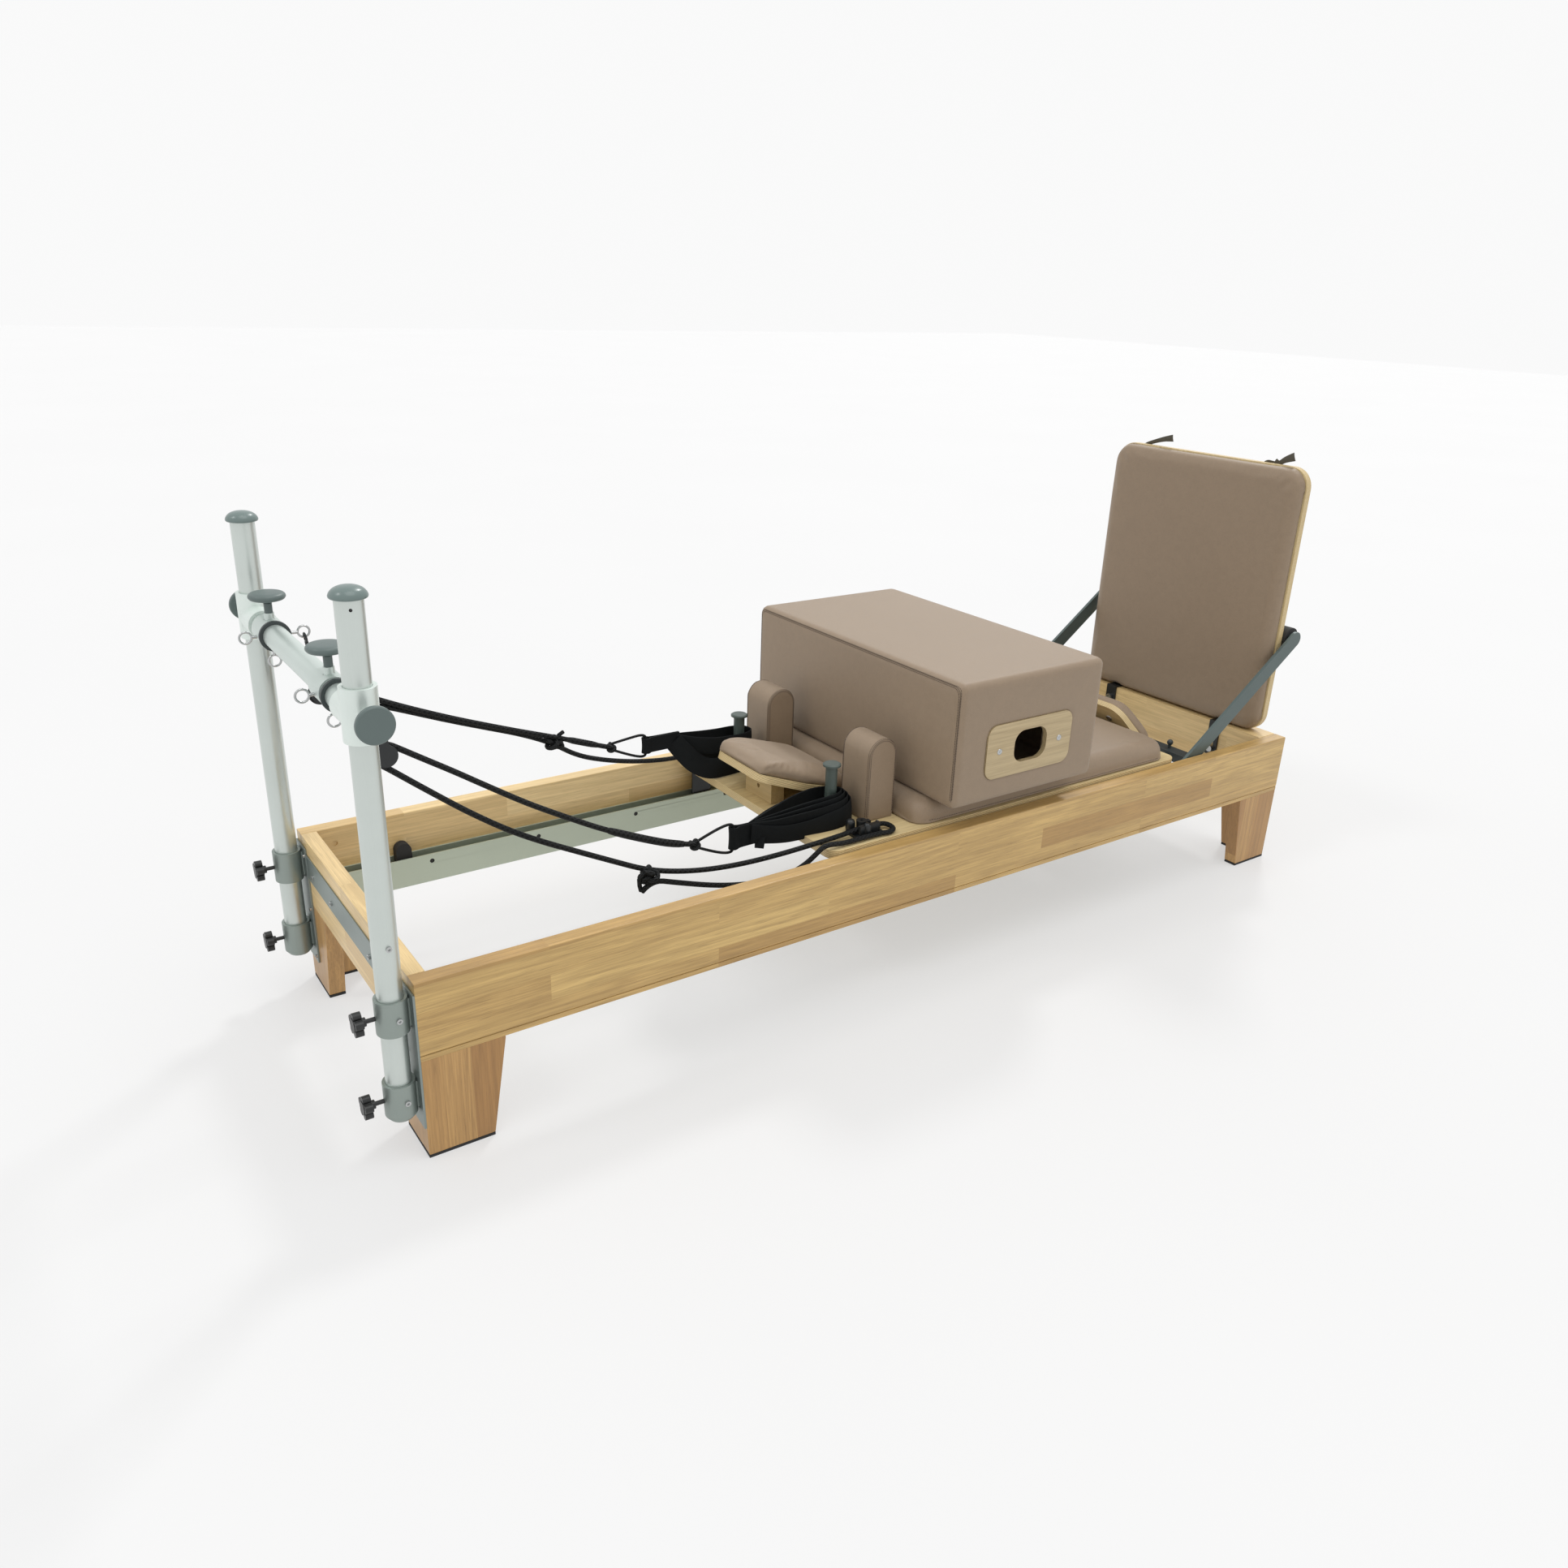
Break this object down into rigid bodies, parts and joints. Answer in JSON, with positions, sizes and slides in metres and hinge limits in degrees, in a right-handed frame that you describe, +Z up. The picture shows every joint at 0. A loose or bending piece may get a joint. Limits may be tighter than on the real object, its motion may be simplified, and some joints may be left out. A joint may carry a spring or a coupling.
{
  "type": "pilates reformer",
  "caption": "Wooden pilates reformer bed with a sliding padded carriage, rope tower, sitting box, footbar and an upright padded jump board.",
  "frame": {"origin": "centre of the footprint of the whole object's box, on the floor under the foot pads", "axes": "+X along the bed from the rope tower to the footbar, +Y across the bed, +Z up"},
  "size_m": [2.5417, 0.816, 1.06],
  "materials": {
    "wood": "satin",
    "ply": "satin",
    "leather": "satin",
    "alu": "satin",
    "track_alu": "satin",
    "fitting": "satin",
    "black_metal": "satin",
    "steel": "satin",
    "bar_grey": "satin",
    "knob": "satin",
    "grey_knob": "satin",
    "peg": "satin",
    "rubber": "matte",
    "foam": "matte",
    "webbing": "matte",
    "rope": "matte",
    "sheave": "satin",
    "wheel": "satin"
  },
  "bodies": {
    "bed": {"side_rail_near": "wood", "side_rail_far": "wood", "head_end_board": "wood", "foot_end_board": "wood", "leg_boards": "wood", "foot_pads": "rubber", "tracks": "track_alu", "track_bumpers": "rubber", "end_plates": "fitting", "post_clamps": "fitting", "riser_posts": "alu", "post_caps": "fitting", "frame_bolts": "steel", "spring_bar": "black_metal", "springs": "steel", "rope_near": "rope", "rope_far": "rope", "rope_knots": "rope"},
    "star_knob_near_upper": {"star_knob_near_upper": "knob"},
    "star_knob_near_lower": {"star_knob_near_lower": "knob"},
    "star_knob_far_upper": {"star_knob_far_upper": "knob"},
    "star_knob_far_lower": {"star_knob_far_lower": "knob"},
    "riser": {"tee_fittings": "fitting", "crossbar": "alu", "pulley_collars": "fitting", "collar_rings": "black_metal", "eyebolts": "steel", "pulley_blocks": "black_metal"},
    "sheave_near": {"sheave_near": "sheave"},
    "sheave_far": {"sheave_far": "sheave"},
    "disc_knob_near": {"disc_knob_near": "grey_knob"},
    "disc_knob_far": {"disc_knob_far": "grey_knob"},
    "collar_knob_near": {"collar_knob_near": "grey_knob"},
    "collar_knob_far": {"collar_knob_far": "grey_knob"},
    "carriage": {"carriage_deck": "ply", "carriage_pad": "leather", "wheel_brackets": "black_metal", "shoulder_rests": "leather", "strap_pegs": "peg", "rope_cleats": "black_metal", "hand_strap_near": "webbing", "hand_strap_far": "webbing", "headrest_hinge": "steel", "foot_stop_board": "ply", "foot_stop_pad": "leather"},
    "wheelset_head": {"wheelset_head": "wheel"},
    "wheelset_foot": {"wheelset_foot": "wheel"},
    "cleat_cam_near": {"cleat_cam_near": "knob"},
    "cleat_cam_far": {"cleat_cam_far": "knob"},
    "headrest": {"headrest_leaf": "steel", "headrest_board": "ply", "headrest_pad": "leather", "headrest_block": "wood"},
    "sitting_box": {"box_body": "leather", "box_handle_plates": "ply"},
    "footbar": {"footbar_frame": "bar_grey", "footbar_grip": "foam"},
    "jump_board": {"jump_board": "ply", "jump_board_pad": "leather", "jump_board_brackets": "black_metal"}
  },
  "joints": [
    {"name": "carriage_slide", "type": "slide", "parent": "bed", "child": "carriage", "axis": [1, 0, 0], "range_m": [-0.7, 0], "deforming": ["springs", "rope_near", "rope_far", "rope_knots"]},
    {"name": "riser_slide", "type": "slide", "parent": "bed", "child": "riser", "axis": [0, 0, 1], "range_m": [-0.2, 0.12]},
    {"name": "headrest_hinge", "type": "hinge", "parent": "carriage", "child": "headrest", "pos_m": [-0.0715, 0, 0.372], "axis": [0, 1, 0], "range_deg": [0, 25]},
    {"name": "footbar_hinge", "type": "hinge", "parent": "bed", "child": "footbar", "pos_m": [0.8365, 0, 0.3155], "axis": [0, 1, 0], "range_deg": [0, 24]},
    {"name": "jump_board_lift", "type": "slide", "parent": "bed", "child": "jump_board", "axis": [0, 0, 1], "range_m": [0, 0.11]},
    {"name": "box_lift", "type": "slide", "parent": "carriage", "child": "sitting_box", "axis": [0, 0, 1], "range_m": [0, 0.35]},
    {"name": "wheels_head_spin", "type": "hinge", "parent": "carriage", "child": "wheelset_head", "pos_m": [-0.2185, 0, 0.224], "axis": [0, 1, 0], "continuous": true},
    {"name": "wheels_foot_spin", "type": "hinge", "parent": "carriage", "child": "wheelset_foot", "pos_m": [0.7315, 0, 0.224], "axis": [0, 1, 0], "continuous": true},
    {"name": "cam_near_turn", "type": "hinge", "parent": "carriage", "child": "cleat_cam_near", "pos_m": [-0.1575, -0.266, 0.38], "axis": [0, 0, 1], "range_deg": [0, 25], "stiffness_Nm_per_rad": 0.02},
    {"name": "cam_far_turn", "type": "hinge", "parent": "carriage", "child": "cleat_cam_far", "pos_m": [-0.1575, 0.266, 0.38], "axis": [0, 0, -1], "range_deg": [0, 25], "stiffness_Nm_per_rad": 0.02},
    {"name": "sheave_near_spin", "type": "hinge", "parent": "riser", "child": "sheave_near", "pos_m": [-1.13046, -0.176, 0.69431], "axis": [0, 1, 0], "continuous": true},
    {"name": "sheave_far_spin", "type": "hinge", "parent": "riser", "child": "sheave_far", "pos_m": [-1.13046, 0.205, 0.69431], "axis": [0, 1, 0], "continuous": true},
    {"name": "disc_knob_near_turn", "type": "hinge", "parent": "riser", "child": "disc_knob_near", "pos_m": [-1.2055, -0.403, 0.831], "axis": [0, -1, 0], "continuous": true},
    {"name": "disc_knob_far_turn", "type": "hinge", "parent": "riser", "child": "disc_knob_far", "pos_m": [-1.2055, 0.403, 0.831], "axis": [0, 1, 0], "continuous": true},
    {"name": "collar_knob_near_turn", "type": "hinge", "parent": "riser", "child": "collar_knob_near", "pos_m": [-1.2055, -0.176, 0.89], "axis": [0, 0, 1], "continuous": true},
    {"name": "collar_knob_far_turn", "type": "hinge", "parent": "riser", "child": "collar_knob_far", "pos_m": [-1.2055, 0.205, 0.89], "axis": [0, 0, 1], "continuous": true},
    {"name": "star_knob_near_upper_turn", "type": "hinge", "parent": "bed", "child": "star_knob_near_upper", "pos_m": [-1.2635, -0.331, 0.293], "axis": [-1, 0, 0], "continuous": true},
    {"name": "star_knob_near_lower_turn", "type": "hinge", "parent": "bed", "child": "star_knob_near_lower", "pos_m": [-1.2635, -0.331, 0.127], "axis": [-1, 0, 0], "continuous": true},
    {"name": "star_knob_far_upper_turn", "type": "hinge", "parent": "bed", "child": "star_knob_far_upper", "pos_m": [-1.2635, 0.331, 0.293], "axis": [-1, 0, 0], "continuous": true},
    {"name": "star_knob_far_lower_turn", "type": "hinge", "parent": "bed", "child": "star_knob_far_lower", "pos_m": [-1.2635, 0.331, 0.127], "axis": [-1, 0, 0], "continuous": true}
  ],
  "couplings": [
    {"joint": "wheels_head_spin", "follows": "carriage_slide", "rad_per_m": 41.667},
    {"joint": "wheels_foot_spin", "follows": "carriage_slide", "rad_per_m": 41.667}
  ]
}
